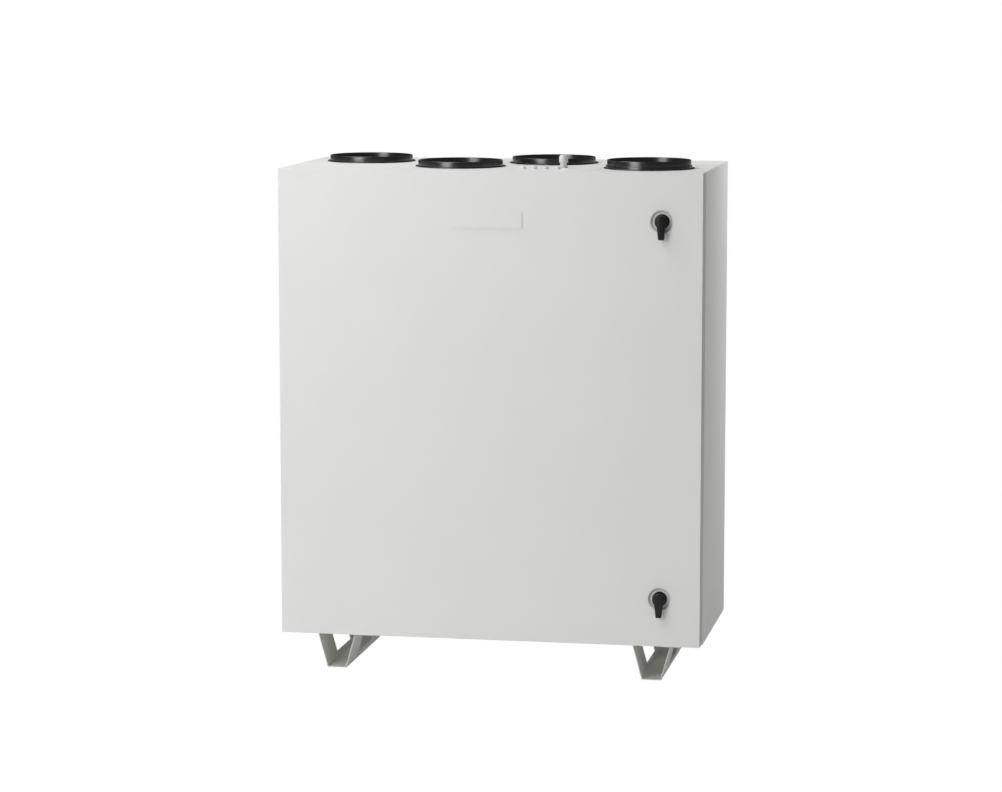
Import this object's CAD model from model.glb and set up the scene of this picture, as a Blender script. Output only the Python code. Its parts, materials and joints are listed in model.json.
"""Looks of the heat recovery unit: camera, studio, materials and detailed pieces round the CAD frame."""
import json
import math

import bmesh
import bpy
from mathutils import Matrix, Vector


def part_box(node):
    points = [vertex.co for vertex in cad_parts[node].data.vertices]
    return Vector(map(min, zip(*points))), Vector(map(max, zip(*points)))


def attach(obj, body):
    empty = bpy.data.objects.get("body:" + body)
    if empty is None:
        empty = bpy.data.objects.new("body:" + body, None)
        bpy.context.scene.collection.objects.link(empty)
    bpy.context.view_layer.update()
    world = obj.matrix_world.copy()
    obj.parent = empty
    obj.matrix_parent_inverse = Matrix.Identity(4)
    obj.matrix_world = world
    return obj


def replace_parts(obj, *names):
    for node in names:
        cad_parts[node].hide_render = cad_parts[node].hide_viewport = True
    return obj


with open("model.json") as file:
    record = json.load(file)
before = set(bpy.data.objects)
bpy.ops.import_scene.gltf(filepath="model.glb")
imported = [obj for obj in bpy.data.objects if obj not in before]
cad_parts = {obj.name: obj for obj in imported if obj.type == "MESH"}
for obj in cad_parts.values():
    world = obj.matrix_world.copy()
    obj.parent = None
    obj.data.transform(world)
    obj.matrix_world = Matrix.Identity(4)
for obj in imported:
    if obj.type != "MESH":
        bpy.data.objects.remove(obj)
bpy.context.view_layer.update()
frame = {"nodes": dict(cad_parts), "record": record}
MM = 0.001


def span(node):
    """Lowest and highest corner of a CAD node, in metres."""
    low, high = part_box(node)
    return Vector(low), Vector(high)


# --- places, all read from the frame ---------------------------------------------------------
front_y = span("door_skin")[0].y
top_z = span("casing_right")[1].z
collar_nodes = ["duct_collar_%d" % i for i in (1, 2, 3, 4)]
FORWARD = (0, -1, 0)


def depth(mm):
    """Y of a place so many millimetres behind the door front."""
    return front_y + mm * MM


# --- shader helpers --------------------------------------------------------------------------
def new_material(name):
    """A node material with a Principled shader; returns the material, its tree and the shader."""
    mat = bpy.data.materials.new(name)
    mat.use_nodes = True
    tree = mat.node_tree
    shader = tree.nodes["Principled BSDF"]
    return mat, tree, shader


def coordinates(tree, stretch=(1, 1, 1)):
    """Object coordinates, stretched along the axes."""
    coord = tree.nodes.new("ShaderNodeTexCoord")
    mapping = tree.nodes.new("ShaderNodeMapping")
    mapping.inputs["Scale"].default_value = stretch
    tree.links.new(coord.outputs["Object"], mapping.inputs["Vector"])
    return mapping.outputs["Vector"]


def noise(tree, vector, scale, detail=2.0, rough=0.5):
    """Soft noise as a factor."""
    node = tree.nodes.new("ShaderNodeTexNoise")
    node.inputs["Scale"].default_value = scale
    node.inputs["Detail"].default_value = detail
    node.inputs["Roughness"].default_value = rough
    tree.links.new(vector, node.inputs["Vector"])
    return node.outputs["Fac"]


def cells(tree, vector, scale, output="Color"):
    """Cell pattern: a random colour for each cell, or the distance from its centre."""
    node = tree.nodes.new("ShaderNodeTexVoronoi")
    node.inputs["Scale"].default_value = scale
    tree.links.new(vector, node.inputs["Vector"])
    return node.outputs[output]


def ramp(tree, source, low, high, start=0.3, end=0.7):
    """Two-colour ramp over a factor."""
    node = tree.nodes.new("ShaderNodeValToRGB")
    node.color_ramp.elements[0].position = start
    node.color_ramp.elements[1].position = end
    node.color_ramp.elements[0].color = (*low, 1)
    node.color_ramp.elements[1].color = (*high, 1)
    tree.links.new(source, node.inputs["Fac"])
    return node.outputs["Color"]


def spread(tree, source, low, high, start=0.0, end=1.0):
    """Maps a factor to a range of values."""
    node = tree.nodes.new("ShaderNodeMapRange")
    node.inputs["From Min"].default_value = start
    node.inputs["From Max"].default_value = end
    node.inputs["To Min"].default_value = low
    node.inputs["To Max"].default_value = high
    tree.links.new(source, node.inputs["Value"])
    return node.outputs["Result"]


def bump(tree, shader, height, distance, strength=1.0, below=None):
    """Adds a bump of the given height in metres, over an earlier bump if there is one."""
    node = tree.nodes.new("ShaderNodeBump")
    node.inputs["Strength"].default_value = strength
    node.inputs["Distance"].default_value = distance
    tree.links.new(height, node.inputs["Height"])
    if below is not None:
        tree.links.new(below, node.inputs["Normal"])
    tree.links.new(node.outputs["Normal"], shader.inputs["Normal"])
    return node.outputs["Normal"]


def tint(colour, factor):
    """A colour made lighter or darker."""
    return tuple(min(1.0, c * factor) for c in colour)


# --- materials -------------------------------------------------------------------------------
# Sockets of a Mix node that is set to colours
MIX_COLOUR_A, MIX_COLOUR_B, MIX_COLOUR_OUT = 6, 7, 2


def powder_coat(name, colour, rough=0.42):
    """Powder-coated sheet: fine orange peel and a faint cloudiness."""
    mat, tree, shader = new_material(name)
    here = coordinates(tree)
    cloud = noise(tree, here, 3.5, 3)
    tree.links.new(ramp(tree, cloud, tint(colour, 0.985), tint(colour, 1.01)), shader.inputs["Base Color"])
    tree.links.new(spread(tree, noise(tree, here, 240, 2), rough - 0.05, rough + 0.06, 0.3, 0.7),
                   shader.inputs["Roughness"])
    peel = bump(tree, shader, noise(tree, here, 620, 1.5), 0.00007, 0.55)
    bump(tree, shader, noise(tree, here, 70, 1), 0.00012, 0.25, below=peel)
    shader.inputs["Specular IOR Level"].default_value = 0.42
    return mat


def folded_sheet_coat(name, colour, thin=0.72):
    """Powder coat of the door, thinner and darker on the folded side returns."""
    mat = powder_coat(name, colour)
    tree = mat.node_tree
    shader = tree.nodes["Principled BSDF"]
    coat = shader.inputs["Base Color"].links[0].from_socket
    split = tree.nodes.new("ShaderNodeSeparateXYZ")
    tree.links.new(tree.nodes.new("ShaderNodeTexCoord").outputs["Normal"], split.inputs[0])
    facing = tree.nodes.new("ShaderNodeMath")
    facing.operation = "ABSOLUTE"
    tree.links.new(split.outputs["X"], facing.inputs[0])
    shade = ramp(tree, facing.outputs[0], (1, 1, 1), (thin, thin, thin), 0.7, 0.95)
    mix = tree.nodes.new("ShaderNodeMix")
    mix.data_type = "RGBA"
    mix.blend_type = "MULTIPLY"
    mix.inputs[0].default_value = 1.0
    tree.links.new(coat, mix.inputs[MIX_COLOUR_A])
    tree.links.new(shade, mix.inputs[MIX_COLOUR_B])
    tree.links.new(mix.outputs[MIX_COLOUR_OUT], shader.inputs["Base Color"])
    return mat


def zinc_sheet(name, colour=(0.56, 0.57, 0.585), spangle=62.0):
    """Galvanised sheet: crystal spangles with their own tone and gloss, and faint roll marks."""
    mat, tree, shader = new_material(name)
    here = coordinates(tree)
    grains = cells(tree, here, spangle)
    tone = tree.nodes.new("ShaderNodeRGBToBW")
    tree.links.new(grains, tone.inputs["Color"])
    tree.links.new(ramp(tree, tone.outputs["Val"], tint(colour, 0.88), tint(colour, 1.1), 0.1, 0.9),
                   shader.inputs["Base Color"])
    tree.links.new(spread(tree, tone.outputs["Val"], 0.3, 0.5), shader.inputs["Roughness"])
    marks = noise(tree, coordinates(tree, (4, 4, 260)), 1.6, 3)
    bump(tree, shader, marks, 0.00005, 0.4)
    shader.inputs["Metallic"].default_value = 0.9
    return mat


def plated_steel(name, colour=(0.62, 0.61, 0.58), rough=0.28):
    """Zinc-plated small part: bright, with fine scratches."""
    mat, tree, shader = new_material(name)
    here = coordinates(tree, (1, 1, 14))
    scratch = noise(tree, here, 420, 4, 0.7)
    tree.links.new(ramp(tree, scratch, tint(colour, 0.85), tint(colour, 1.08)), shader.inputs["Base Color"])
    tree.links.new(spread(tree, scratch, rough - 0.08, rough + 0.16, 0.3, 0.7), shader.inputs["Roughness"])
    bump(tree, shader, scratch, 0.00003, 0.4)
    shader.inputs["Metallic"].default_value = 1.0
    return mat


def moulded(name, colour, rough=0.36, grain=1800.0, depth_m=0.00002, gloss=0.5, uneven=0.07):
    """Moulded plastic: fine spark-eroded grain and a slightly uneven gloss."""
    mat, tree, shader = new_material(name)
    here = coordinates(tree)
    flow = noise(tree, here, 18, 3)
    tree.links.new(ramp(tree, flow, tint(colour, 0.86), tint(colour, 1.12)), shader.inputs["Base Color"])
    tree.links.new(spread(tree, noise(tree, here, 160, 2), rough - uneven, rough + uneven, 0.3, 0.7),
                   shader.inputs["Roughness"])
    bump(tree, shader, noise(tree, here, grain, 2), depth_m, 0.6)
    shader.inputs["Specular IOR Level"].default_value = gloss
    return mat


def bead_foam(name, colour=(0.8, 0.8, 0.78)):
    """Expanded bead foam: packed beads a few millimetres across."""
    mat, tree, shader = new_material(name)
    here = coordinates(tree)
    edge = cells(tree, here, 260, "Distance")
    tree.links.new(ramp(tree, edge, tint(colour, 1.05), tint(colour, 0.86), 0.2, 0.8),
                   shader.inputs["Base Color"])
    bump(tree, shader, edge, -0.0006, 0.7)
    shader.inputs["Roughness"].default_value = 0.85
    return mat


def soft_rubber(name, colour=(0.018, 0.018, 0.019)):
    """Matt black rubber, a little uneven in tone."""
    mat, tree, shader = new_material(name)
    here = coordinates(tree)
    tree.links.new(ramp(tree, noise(tree, here, 45, 4), tint(colour, 0.8), tint(colour, 1.6)),
                   shader.inputs["Base Color"])
    tree.links.new(spread(tree, noise(tree, here, 300, 2), 0.55, 0.75), shader.inputs["Roughness"])
    bump(tree, shader, noise(tree, here, 1400, 2), 0.00006, 0.7)
    return mat


def filter_paper(name, colour=(0.80, 0.78, 0.70)):
    """Pleated fibre: matted threads in two sizes, a little darker where dust gathers."""
    mat, tree, shader = new_material(name)
    here = coordinates(tree, (1, 3, 1))
    fibres = noise(tree, here, 900, 5, 0.75)
    dust = noise(tree, coordinates(tree), 14, 4)
    tree.links.new(ramp(tree, dust, tint(colour, 0.84), colour), shader.inputs["Base Color"])
    bump(tree, shader, fibres, 0.00025, 0.8)
    shader.inputs["Roughness"].default_value = 0.92
    shader.inputs["Sheen Weight"].default_value = 0.25
    return mat


def exchanger_film(name, colour=(0.50, 0.58, 0.62)):
    """Thin plastic plates of the exchanger, slightly milky."""
    mat, tree, shader = new_material(name)
    here = coordinates(tree)
    tree.links.new(ramp(tree, noise(tree, here, 30, 3), tint(colour, 0.82), tint(colour, 1.12)),
                   shader.inputs["Base Color"])
    tree.links.new(spread(tree, noise(tree, here, 200, 2), 0.2, 0.4), shader.inputs["Roughness"])
    bump(tree, shader, noise(tree, here, 500, 2), 0.00006, 0.5)
    return mat


def cast_alloy(name, colour=(0.5, 0.51, 0.52)):
    """Cast aluminium with a sandy skin."""
    mat, tree, shader = new_material(name)
    here = coordinates(tree)
    sand = noise(tree, here, 700, 3)
    tree.links.new(ramp(tree, noise(tree, here, 60, 3), tint(colour, 0.85), tint(colour, 1.1)),
                   shader.inputs["Base Color"])
    tree.links.new(spread(tree, sand, 0.38, 0.6), shader.inputs["Roughness"])
    bump(tree, shader, sand, 0.00015, 0.6)
    shader.inputs["Metallic"].default_value = 0.9
    return mat


def tempered_rod(name):
    """Heater rod: steel with straw and blue heat tint."""
    mat, tree, shader = new_material(name)
    here = coordinates(tree, (6, 1, 1))
    heat = noise(tree, here, 4, 2)
    tree.links.new(ramp(tree, heat, (0.32, 0.25, 0.17), (0.16, 0.18, 0.25)), shader.inputs["Base Color"])
    tree.links.new(spread(tree, noise(tree, here, 300, 2), 0.28, 0.5), shader.inputs["Roughness"])
    shader.inputs["Metallic"].default_value = 1.0
    return mat


WARM_WHITE = (0.80, 0.80, 0.785)
PAINT = powder_coat("warm_white_coat", WARM_WHITE)
FOOT_PAINT = powder_coat("foot_coat", (0.79, 0.79, 0.745))
DOOR_PAINT = folded_sheet_coat("door_coat", WARM_WHITE)
ZINC = zinc_sheet("galvanised_sheet")
PLATED = plated_steel("plated_steel")
BLACK = moulded("black_moulding", (0.005, 0.005, 0.005), rough=0.33, gloss=0.36)
COLLAR = moulded("collar_black", (0.0035, 0.0038, 0.0041), rough=0.25, grain=130, depth_m=0.000002,
                 gloss=0.9, uneven=0.02)
GREY = moulded("grey_moulding", (0.62, 0.63, 0.62), rough=0.4)
ORANGE = moulded("orange_moulding", (0.62, 0.19, 0.03), rough=0.42)
NAVY = moulded("filter_frame_board", (0.045, 0.075, 0.13), rough=0.5)
WHEEL = moulded("wheel_moulding", (0.035, 0.038, 0.042), rough=0.42)
FOAM = bead_foam("bead_foam")
RUBBER = soft_rubber("gasket_rubber")
PAPER = filter_paper("filter_paper")
FILM = exchanger_film("exchanger_film")
ALLOY = cast_alloy("cast_alloy")
ROD = tempered_rod("tempered_rod")

SLOT_MATERIAL = {
    "paint": PAINT, "zinc": ZINC, "black_plastic": BLACK, "grey_plastic": GREY,
    "orange_plastic": ORANGE, "foam": FOAM, "gasket": RUBBER, "core": FILM,
    "filter_frame": NAVY, "filter_media": PAPER, "motor": ALLOY, "wheel": WHEEL,
    "rods": ROD, "cable": RUBBER,
}
NODE_MATERIAL = {"door_skin": DOOR_PAINT, "foot_left": FOOT_PAINT, "foot_right": FOOT_PAINT}
PLATED_NODES = {"foot_screws", "hinge_brackets", "hinge_pins", "door_hinges", "lock_keepers",
                "lock_cam_upper", "lock_cam_lower", "temperature_probes", "bypass_blade"}
USUAL_EDGE = 0.0005
EDGES = {"door_skin": 0.0011, "blank_badge": 0.0016, "cable_gland": 0.0007, "entry_plugs": 0.0012}
SHARP_NODES = {"insulation", "door_insulation", "exchanger_core"}


def dress_frame():
    """Gives every CAD node its material and softens its edges a little."""
    slots = {s["node"]: s["material_slot"] for s in frame["record"]["subparts"]}
    for node, obj in frame["nodes"].items():
        mat = PLATED if node in PLATED_NODES else SLOT_MATERIAL[slots[node]]
        mat = NODE_MATERIAL.get(node, mat)
        obj.data.materials.clear()
        obj.data.materials.append(mat)
        if node not in SHARP_NODES:
            soften(obj, EDGES.get(node, USUAL_EDGE))


def soften(obj, width, segments=2):
    """Rounds the sharp edges of a piece."""
    mod = obj.modifiers.new("soft_edges", "BEVEL")
    mod.width = width
    mod.segments = segments
    mod.limit_method = "ANGLE"
    mod.angle_limit = math.radians(40)
    mod.use_clamp_overlap = True


# --- mesh helpers ----------------------------------------------------------------------------
def finish_mesh(name, bm, mat, body, smooth_angle=35, edge=0.0):
    """Turns a bmesh into a piece with smooth shading up to an angle, riding on a body."""
    bmesh.ops.recalc_face_normals(bm, faces=bm.faces)
    mesh = bpy.data.meshes.new(name)
    bm.to_mesh(mesh)
    bm.free()
    mesh.shade_smooth()
    mesh.set_sharp_from_angle(angle=math.radians(smooth_angle))
    mesh.materials.append(mat)
    obj = bpy.data.objects.new(name, mesh)
    bpy.context.scene.collection.objects.link(obj)
    if edge:
        soften(obj, edge)
    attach(obj, body)
    return obj


def add_box(bm, low, high):
    """A block between two corners."""
    low, high = Vector(low), Vector(high)
    size = high - low
    place = Matrix.Translation((low + high) / 2) @ Matrix.Diagonal((*size, 1))
    bmesh.ops.create_cube(bm, size=1, matrix=place)


def add_turned(bm, profile, at, axis=(0, 0, 1), segments=48):
    """Turns (radius, height) points, in millimetres, about an axis.

    A profile that starts on the axis gives a solid, and any other is closed to a ring.
    """
    turn = Vector((0, 0, 1)).rotation_difference(Vector(axis)).to_matrix().to_4x4()
    place = Matrix.Translation(Vector(at)) @ turn
    rings = []
    for radius, height in profile:
        if radius == 0:
            rings.append([bm.verts.new(place @ Vector((0, 0, height * MM)))])
            continue
        ring = []
        for i in range(segments):
            a = 2 * math.pi * i / segments
            point = Vector((radius * MM * math.cos(a), radius * MM * math.sin(a), height * MM))
            ring.append(bm.verts.new(place @ point))
        rings.append(ring)
    closed = profile[0][0] != 0
    pairs = list(zip(rings, rings[1:] + rings[:1])) if closed else list(zip(rings, rings[1:]))
    for a, b in pairs:
        for i in range(segments):
            j = (i + 1) % segments
            if len(a) == 1:
                bm.faces.new((a[0], b[i], b[j]))
            elif len(b) == 1:
                bm.faces.new((a[i], b[0], a[j]))
            else:
                bm.faces.new((a[i], b[i], b[j], a[j]))


def add_prism(bm, outline, start, rise):
    """A prism over an outline of points, from start along the rise vector."""
    start, rise = Vector(start), Vector(rise)
    low = [bm.verts.new(start + Vector(p)) for p in outline]
    high = [bm.verts.new(start + Vector(p) + rise) for p in outline]
    bm.faces.new(low)
    bm.faces.new(list(reversed(high)))
    for i in range(len(outline)):
        j = (i + 1) % len(outline)
        bm.faces.new((low[j], low[i], high[i], high[j]))


def add_swept(bm, rows):
    """A skin through rings of vertices with equal counts, closed at both ends."""
    for a, b in zip(rows, rows[1:]):
        for i in range(len(a)):
            j = (i + 1) % len(a)
            bm.faces.new((a[i], a[j], b[j], b[i]))
    bm.faces.new(rows[0])
    bm.faces.new(list(reversed(rows[-1])))


def add_screw(bm, at, radius, height):
    """Domed head with a round recess, facing the front; radius and height in millimetres."""
    recess, floor = radius * 0.45, height * 0.45
    profile = [(0, floor), (recess, floor), (recess, height * 0.96), (radius * 0.75, height),
               (radius * 0.95, height * 0.72), (radius, height * 0.3), (radius, 0), (0, 0)]
    add_turned(bm, profile, at, FORWARD, segments=24)


def screw_corners(bm, node, inset_x, inset_z, radius, height):
    """A screw near each corner of a node's front face."""
    low, high = span(node)
    for x in (low.x + inset_x * MM, high.x - inset_x * MM):
        for z in (low.z + inset_z * MM, high.z - inset_z * MM):
            add_screw(bm, (x, low.y, z), radius, height)


def arc(cx, cy, r, a0, a1, steps=5):
    """Points of an arc, for profiles."""
    return [(cx + r * math.cos(math.radians(a0 + (a1 - a0) * i / steps)),
             cy + r * math.sin(math.radians(a0 + (a1 - a0) * i / steps))) for i in range(steps + 1)]


# --- pieces ----------------------------------------------------------------------------------
def collar_profile(flange, stub, rise):
    """Outline of one collar, in millimetres: pipe end below the top sheet, flange, spigot and bore."""
    through, seat, bore, lip = 98.6, 0.02, 95.5, 1.2
    tall = rise > 18
    spigot = 98.3 if tall else 100.0
    if tall:
        step = [(101.3, 1.9)] + arc(100.7, 6.8, 0.6, 0, 90, 3) + [(spigot, 7.4)]
    else:
        step = [(spigot, 2.6)]
    return ([(through, stub), (through, seat)]
            + [(flange - 0.5, seat)] + arc(flange - 1.0, 1.0, 1.0, 0, 80, 4)
            + [(spigot + 3.2, 2.0)] + step
            + arc(spigot - lip, rise - lip, lip, 0, 90, 4)
            + arc(bore + 1.0, rise - 1.0, 1.0, 90, 180, 4)
            + [(bore, stub + 1), (bore + 0.8, stub)])


def collars():
    """Duct collars turned with rounded flange, step, bead and lip."""
    for node in collar_nodes:
        low, high = span(node)
        centre = ((low.x + high.x) / 2, (low.y + high.y) / 2, top_z)
        profile = collar_profile((high.x - low.x) / 2 / MM, (low.z - top_z) / MM, (high.z - top_z) / MM)
        bm = bmesh.new()
        add_turned(bm, profile, centre, segments=192)
        piece = finish_mesh(node + "_turned", bm, COLLAR, "cabinet", 30)
        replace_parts(piece, node)


def wing_handle(side):
    """Wing handle: turned disc with its spindle, and a raised wing that runs across it to the tip."""
    node = "lock_handle_" + side
    low, high = span(node)
    x = (low.x + high.x) / 2
    hub = (high.x - low.x) / 2 / MM
    z = high.z - hub * MM
    body = side + "_lock"
    bm = bmesh.new()
    add_disc_and_spindle(bm, (x, front_y, z), hub, span("lock_cam_" + side)[1].y)
    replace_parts(finish_mesh("wing_disc_" + side, bm, BLACK, body, 40), node)
    bm = bmesh.new()
    add_wing(bm, x, z, hub, (front_y - low.y) / MM, (z - low.z) / MM)
    finish_mesh("wing_" + side, bm, BLACK, body, 50)


def add_disc_and_spindle(bm, at, hub, cam_back):
    """Disc of the handle, round spindle through the door and its square end in the tongue."""
    under, rim, face, rounding = -1, 7.5, 13.6, 1.6
    profile = ([(0, under), (hub - 1.5, under), (hub - 1.5, 6.6), (hub - 0.5, rim)]
               + arc(hub - 1.6, 11.9, rounding, 0, 80, 5) + [(hub * 0.8, face), (0, face)])
    add_turned(bm, profile, at, FORWARD, segments=72)
    spindle, spindle_top, spindle_end = 4, -0.9, -60.4
    add_turned(bm, [(0, spindle_end), (spindle, spindle_end), (spindle, spindle_top), (0, spindle_top)], at,
               FORWARD, segments=32)
    x, _, z = at
    square, square_start = 2.7 * MM, depth(60.2)
    add_box(bm, (x - square, square_start, z - square), (x + square, cam_back + 2 * MM, z + square))


def add_wing(bm, x, z, hub, top, reach):
    """Wing of the handle, skinned over cross sections from the disc's rim down to the tip.

    x and z are the disc's middle in metres; the other sizes are in millimetres.
    """
    foot, full = 7.6, 10.4
    curve = hub - 0.4
    stations = []
    for degrees in (84, 76, 66, 56, 48):
        a = math.radians(degrees)
        stations.append((curve * math.sin(a), min(curve * math.cos(a), full)))
    stations += [(4, full), (-6, 10.3), (-12, 10.0), (-16, 9.4), (-24, 8.4), (-32, 7.5), (-reach + 1.2, 6.7),
                 (-reach, 6.2)]
    ends = (stations[0][0], stations[-1][0])
    rows = []
    for dz, half in stations:
        edge = min(1.5, half * 0.4)
        near_end = dz > 13 or dz < -reach + 2
        peak = top - (1.1 if dz in ends else 0.4 if near_end else 0)
        right = [(half * 0.5, peak), (half - edge, peak - 0.3), (half - edge * 0.35, peak - 1.0),
                 (half, peak - 2.4), (half, foot)]
        ring = [(-px, py) for px, py in reversed(right)] + right
        rows.append([bm.verts.new((x + px * MM, front_y - py * MM, z + dz * MM)) for px, py in ring])
    add_swept(bm, rows)


def exchanger_plates():
    """Stack of thin six-sided plates between the end caps, every other one a little smaller."""
    low, high = span("exchanger_core")
    half = (high.x - low.x) / 2
    pitch, thick, smaller = 5.0 * MM, 1.4 * MM, 2.4 * MM
    count = int((high.y - low.y) / pitch)
    bm = bmesh.new()
    for i in range(count + 1):
        inset = 0.0 if i % 2 else smaller
        a = half - inset
        zl, zh = low.z + inset, high.z - inset
        outline = [(0, 0, zl), (a, 0, zl + a), (a, 0, zh - a), (0, 0, zh), (-a, 0, zh - a), (-a, 0, zl + a)]
        y = low.y + i * (high.y - low.y - thick) / count
        add_prism(bm, outline, (0, y, 0), (0, thick, 0))
    add_spacers(bm, low, high, half)
    piece = finish_mesh("exchanger_plates", bm, FILM, "cabinet", 20)
    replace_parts(piece, "exchanger_core")


def add_spacers(bm, low, high, half, per_face=9):
    """Spacer ribs along the plates, on the four slanted faces."""
    inset, rib = 3.5 * MM, 0.9 * MM
    a = half - inset
    for side in (-1, 1):
        for rise, base in ((1, low.z + inset), (-1, high.z - inset)):
            for k in range(1, per_face + 1):
                t = k / (per_face + 1) * a
                x, z = side * t, base + rise * t
                add_box(bm, (x - rib, low.y, z - rib), (x + rib, high.y, z + rib))


def exchanger_strap():
    """Pull strap across the front cap, with its two anchor plates."""
    low, high = span("exchanger_ends")
    y = low.y
    z = (low.z + high.z) / 2
    half, width, bow, steps = 92 * MM, 24 * MM, 3.0 * MM, 24
    anchor, strap = 0.9 * MM, 0.8 * MM
    bm = bmesh.new()
    rows = []
    for i in range(steps + 1):
        t = i / steps
        x = -half + 2 * half * t
        out = y - anchor - bow * math.sin(math.pi * t)
        corners = ((out, -1), (out, 1), (out + strap, 1), (out + strap, -1))
        rows.append([bm.verts.new((x, cy, z + side * width / 2)) for cy, side in corners])
    add_swept(bm, rows)
    finish_mesh("exchanger_strap", bm, RUBBER, "cabinet", 30)

    bm = bmesh.new()
    front, half_wide, half_tall = y - 2.2 * MM, 11 * MM, 15 * MM
    for x in (-half, half):
        add_box(bm, (x - half_wide, front, z - half_tall), (x + half_wide, y - anchor, z + half_tall))
        for dz in (-9, 9):
            add_screw(bm, (x, front, z + dz * MM), 2.6, 1.2)
    finish_mesh("strap_anchors", bm, PLATED, "cabinet", 35, edge=0.0004)


def filter_pleats(side):
    """Zigzag of fibre sheet that fills the filter's frame."""
    node = "filter_media_" + side
    low, high = span(node)
    pitch, thick = 9.0 * MM, 0.9 * MM
    count = int((high.y - low.y) / pitch)
    step = (high.y - low.y - thick) / (2 * count)
    bm = bmesh.new()
    rows = []
    for i in range(2 * count + 1):
        y = low.y + i * step
        z = high.z if i % 2 else low.z + thick
        far_y, far_z = y + thick, z - thick
        corners = ((low.x, y, z), (high.x, y, z), (high.x, far_y, far_z), (low.x, far_y, far_z))
        rows.append([bm.verts.new(corner) for corner in corners])
    add_swept(bm, rows)
    piece = finish_mesh("filter_pleats_" + side, bm, PAPER, "cabinet", 15)
    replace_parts(piece, node)


def screws():
    """Screw heads on the control cover, front frame, heater frame and fan housings."""
    bm = bmesh.new()
    screw_corners(bm, "control_cover", 8, 8, 3.2, 1.9)
    add_frame_screws(bm)
    screw_corners(bm, "heater_frame", 8, 12, 3.2, 2.0)
    for side in ("left", "right"):
        add_housing_screws(bm, side)
    finish_mesh("cabinet_screws", bm, PLATED, "cabinet", 35)


def add_frame_screws(bm, per_side=5):
    """A row of screws down each side rail of the front frame."""
    low, high = span("front_frame")
    inset, end = 33 * MM, 140 * MM
    for x in (low.x + inset, high.x - inset):
        for i in range(per_side):
            z = low.z + end + i * (high.z - low.z - 2 * end) / (per_side - 1)
            add_screw(bm, (x, low.y, z), 3.0, 1.4)


def wheel_middle(side):
    """Middle of a fan wheel."""
    low, high = span("impeller_" + side)
    return (low + high) / 2


def add_housing_screws(bm, side, count=6):
    """A ring of screws round the inlet of a fan housing."""
    face = span("fan_housing_" + side)[0].y
    middle = wheel_middle(side)
    ring = 92 * MM
    for i in range(count):
        a = math.radians(30 + 360 / count * i)
        add_screw(bm, (middle.x + ring * math.cos(a), face, middle.z + ring * math.sin(a)), 3.0, 1.8)


def cable_ties():
    """Nylon ties round the upright runs of the two wiring looms."""
    low, high = span("wiring_looms")
    cable = 3.5 * MM
    y = low.y + cable
    band = [(3.55, -2.4), (4.5, -2.0), (4.5, 2.0), (3.55, 2.4)]
    heights = (0.3, 0.4, 0.56, 0.7, 0.92, 1.05)
    lock, lock_back, lock_front = Vector((2 * MM, 0, 2.8 * MM)), 4.1 * MM, 6.6 * MM
    bm = bmesh.new()
    for x in (low.x + cable, high.x - cable):
        for z in heights:
            add_turned(bm, band, (x, y, z), segments=24)
            add_box(bm, Vector((x, y - lock_front, z)) - lock, Vector((x, y - lock_back, z)) + lock)
    finish_mesh("cable_ties", bm, GREY, "cabinet", 35)


def inlet_rings():
    """Bell-mouth ring in each fan inlet."""
    bell, sheet, seat = 74, 1.4, 8.4
    for side in ("left", "right"):
        middle = wheel_middle(side)
        centre = (middle.x, span("fan_housing_" + side)[0].y, middle.z)
        bm = bmesh.new()
        profile = ([(65.6, -7.5), (65.6, 0)] + arc(bell, 0, seat, 180, 90, 6) + [(76, seat), (76, 7.4)]
                   + arc(bell, 0, seat - sheet, 90, 180, 6)[1:] + [(66.8, -7.5)])
        shifted = [(r, h - seat) for r, h in profile]
        add_turned(bm, shifted, centre, FORWARD, segments=96)
        finish_mesh("inlet_ring_" + side, bm, BLACK, "cabinet", 40)


def door_inside():
    """Stiffening beads pressed in the door's inner sheet."""
    low, high = span("door_liner")
    y = high.y
    wide, narrow, proud, sunk = 9 * MM, 5 * MM, 2.4 * MM, 0.2 * MM
    edge_gap = 0.24
    bm = bmesh.new()
    for start, end in ((0.16, 0.46), (0.54, 0.84)):
        za = low.z + start * (high.z - low.z)
        zb = low.z + end * (high.z - low.z)
        for x in (low.x + edge_gap, 0.0, high.x - edge_gap):
            outline = [(x - wide, y - sunk, 0), (x + wide, y - sunk, 0), (x + narrow, y + proud, 0),
                       (x - narrow, y + proud, 0)]
            add_prism(bm, outline, (0, 0, za), (0, 0, zb - za))
    finish_mesh("door_beads", bm, ZINC, "door", 30, edge=0.001)


# --- studio ----------------------------------------------------------------------------------
AMBIENT = 0.172
SWEEP_GLOW = 0.126
SWEEP_REACH = 200.0
# Name, place, aim, width, height and power of each soft light
LIGHTS = [
    ("key", (-2.05, -3.85, 1.75), (0, 0, 0.95), 1.85, 1.9, 55),
    ("over", (-1.15, -0.25, 3.4), (0, 0, 1.2), 1.6, 1.6, 56),
    ("front_fill", (-1.2, -2.6, 3.3), (0, 0, 0.6), 1.5, 1.5, 28.5),
    ("side_high", (0.85, 0.5, 1.5), (0.5, 0.2, 1.1), 0.2, 0.2, 1.8),
    ("side_strip", (0.92, 0.42, 0.85), (0.5, 0.25, 0.85), 0.12, 1.2, 1.3),
]


def area_light(name, place, target, width, height, power):
    """One soft light; the two small ones at the right side leave no mirror image in the coat."""
    data = bpy.data.lights.new(name, "AREA")
    data.energy = power
    data.shape = "RECTANGLE"
    data.size = width
    data.size_y = height
    obj = bpy.data.objects.new(name, data)
    obj.location = place
    obj.rotation_euler = (Vector(target) - Vector(place)).to_track_quat("-Z", "Y").to_euler()
    obj.visible_glossy = not name.startswith("side")
    bpy.context.scene.collection.objects.link(obj)


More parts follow.
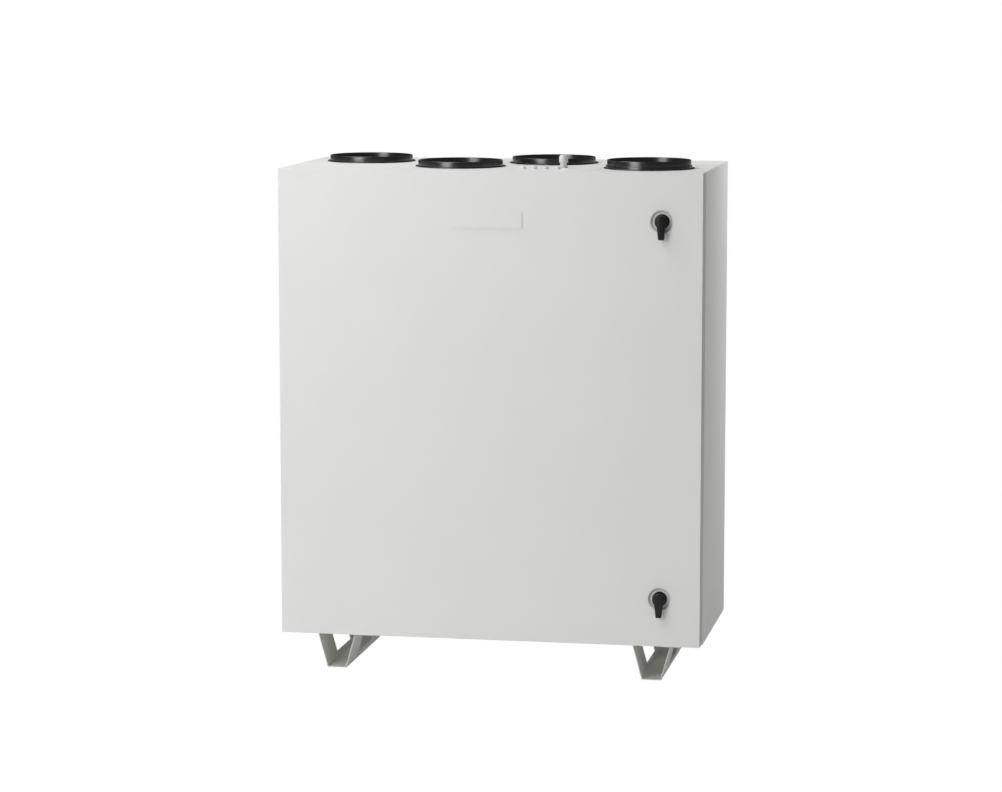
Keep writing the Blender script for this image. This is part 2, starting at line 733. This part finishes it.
def choose_camera(tree, unseen, seen, surface):
    """Shows one shader to the camera and another to every other ray."""
    mix = tree.nodes.new("ShaderNodeMixShader")
    path = tree.nodes.new("ShaderNodeLightPath")
    tree.links.new(path.outputs["Is Camera Ray"], mix.inputs["Fac"])
    tree.links.new(unseen, mix.inputs[1])
    tree.links.new(seen, mix.inputs[2])
    tree.links.new(mix.outputs["Shader"], surface)


def ambient_world():
    """Even white light from all round; the camera sees plain white."""
    world = bpy.data.worlds.new("studio")
    world.use_nodes = True
    tree = world.node_tree
    ambient = tree.nodes["Background"]
    ambient.inputs["Color"].default_value = (1, 1, 1, 1)
    ambient.inputs["Strength"].default_value = AMBIENT
    seen = tree.nodes.new("ShaderNodeBackground")
    seen.inputs["Color"].default_value = (1, 1, 1, 1)
    choose_camera(tree, ambient.outputs["Background"], seen.outputs["Background"],
                  tree.nodes["World Output"].inputs["Surface"])
    bpy.context.scene.world = world


def floor_material():
    """Pale matt floor that glows a little; the camera sees plain white."""
    mat = bpy.data.materials.new("studio_floor")
    mat.use_nodes = True
    tree = mat.node_tree
    tree.nodes.clear()
    out = tree.nodes.new("ShaderNodeOutputMaterial")
    glow = tree.nodes.new("ShaderNodeEmission")
    matt = tree.nodes.new("ShaderNodeBsdfDiffuse")
    matt.inputs["Color"].default_value = (0.8, 0.8, 0.79, 1)
    bounce = tree.nodes.new("ShaderNodeEmission")
    bounce.inputs["Strength"].default_value = SWEEP_GLOW
    both = tree.nodes.new("ShaderNodeAddShader")
    tree.links.new(matt.outputs["BSDF"], both.inputs[0])
    tree.links.new(bounce.outputs["Emission"], both.inputs[1])
    choose_camera(tree, both.outputs["Shader"], glow.outputs["Emission"], out.inputs["Surface"])
    return mat


def studio():
    """White sweep, ambient light and five soft lights."""
    ambient_world()
    mat = floor_material()
    bm = bmesh.new()
    corners = ((-1, -1), (1, -1), (1, 1), (-1, 1))
    bm.faces.new([bm.verts.new((x * SWEEP_REACH, y * SWEEP_REACH, 0)) for x, y in corners])
    mesh = bpy.data.meshes.new("floor")
    bm.to_mesh(mesh)
    bm.free()
    mesh.materials.append(mat)
    floor = bpy.data.objects.new("floor", mesh)
    bpy.context.scene.collection.objects.link(floor)
    for light in LIGHTS:
        area_light(*light)


def camera():
    """Long lens from the right, a little above, at the photograph's viewing angle."""
    right, away, up = 1.3939, 7.2613, 1.6637
    fall, turn = 7.635, 10.633
    data = bpy.data.cameras.new("camera")
    data.sensor_width = 36
    data.lens = 114.98
    data.clip_end = SWEEP_REACH
    obj = bpy.data.objects.new("camera", data)
    obj.location = (right, front_y - away, up)
    obj.rotation_euler = (math.radians(90 - fall), 0, math.radians(turn))
    bpy.context.scene.collection.objects.link(obj)
    bpy.context.scene.camera = obj


dress_frame()
collars()
for which in ("upper", "lower"):
    wing_handle(which)
exchanger_plates()
exchanger_strap()
for which in ("left", "right"):
    filter_pleats(which)
screws()
cable_ties()
inlet_rings()
door_inside()
studio()
camera()
bpy.context.scene.view_settings.view_transform = "Standard"
